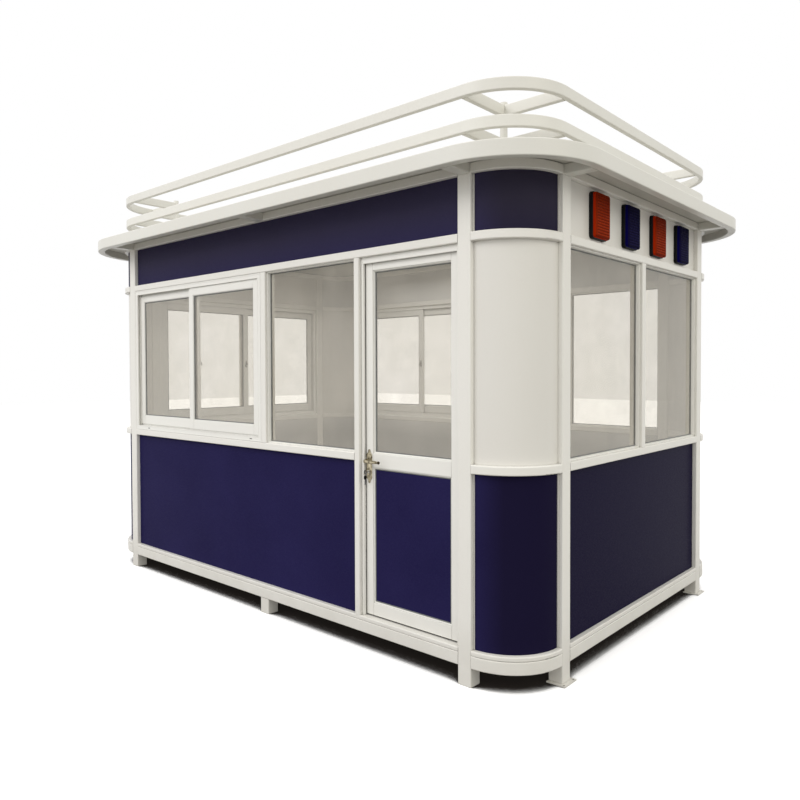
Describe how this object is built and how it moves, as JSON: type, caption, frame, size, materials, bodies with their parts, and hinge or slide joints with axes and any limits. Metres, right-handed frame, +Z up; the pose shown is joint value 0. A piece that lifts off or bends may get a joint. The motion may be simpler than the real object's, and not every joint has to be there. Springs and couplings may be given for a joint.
{
  "type": "security guard booth",
  "caption": "Guard booth with rounded corners, navy and white panels, glazed upper walls, a hinged door, an overhanging roof with rail hoops and warning lamps on one end.",
  "frame": {"origin": "on the ground under the middle of the booth", "axes": "+X towards the end wall with the lamps, -Y towards the door side, +Z up"},
  "size_m": [4.41, 3.02, 2.986],
  "materials": {
    "frame_white": "ivory powder coat",
    "panel_navy": "glossy navy coated sheet",
    "panel_white": "ivory coated sheet",
    "glass": "clear float glass",
    "window_white": "white coated aluminium profile",
    "handle_bronze": "brushed bronze",
    "lock_steel": "brushed",
    "hinge_white": "white coated steel",
    "floor_grey": "grey sheet flooring",
    "roof_white": "ivory powder coat",
    "lamp_black": "black moulded",
    "lens_red": "ribbed red lens",
    "lens_blue": "ribbed blue lens"
  },
  "bodies": {
    "booth": {"base_beams": "frame_white", "foot_plates": "frame_white", "mid_legs": "frame_white", "side_posts": "frame_white", "end_posts": "frame_white", "front_rails": "frame_white", "back_rails": "frame_white", "end_rails": "frame_white", "corner_rails": "frame_white", "window_mullions": "frame_white", "door_post": "frame_white", "side_lower_panels": "panel_navy", "side_upper_panels": "panel_navy", "end_lower_panels": "panel_navy", "corner_navy_panels": "panel_navy", "end_upper_panels": "panel_white", "corner_white_panels": "panel_white", "fixed_glass": "glass", "sash_glass": "glass", "glazing_beads": "window_white", "sliding_frame": "window_white", "sashes": "window_white", "door_frame": "window_white", "hinge_pins": "hinge_white", "floor_deck": "floor_grey", "roof_deck": "roof_white", "eave_fascia": "roof_white", "eave_bends": "roof_white", "outriggers": "roof_white", "lower_hoop": "roof_white", "upper_hoop": "roof_white", "hoop_bends": "roof_white", "hoop_braces": "roof_white", "hoop_uprights": "roof_white", "lamp_housings": "lamp_black", "red_lenses": "lens_red", "blue_lenses": "lens_blue"},
    "door": {"door_leaf": "window_white", "door_glass": "glass", "door_panel": "panel_navy", "handle_plates": "handle_bronze", "lock_cylinder": "lock_steel", "hinge_barrels": "hinge_white"},
    "lever": {"levers": "handle_bronze"}
  },
  "joints": [
    {"name": "door_swing", "type": "hinge", "parent": "booth", "child": "door", "pos_m": [1.589, -1.222, 1.2], "axis": [0, 0, -1], "range_deg": [0, 90]},
    {"name": "lever_turn", "type": "hinge", "parent": "door", "child": "lever", "pos_m": [0.9535, -1.25, 1.062], "axis": [0, 1, 0], "range_deg": [0, 40], "stiffness_Nm_per_rad": 1, "springref_deg": -28.65}
  ]
}
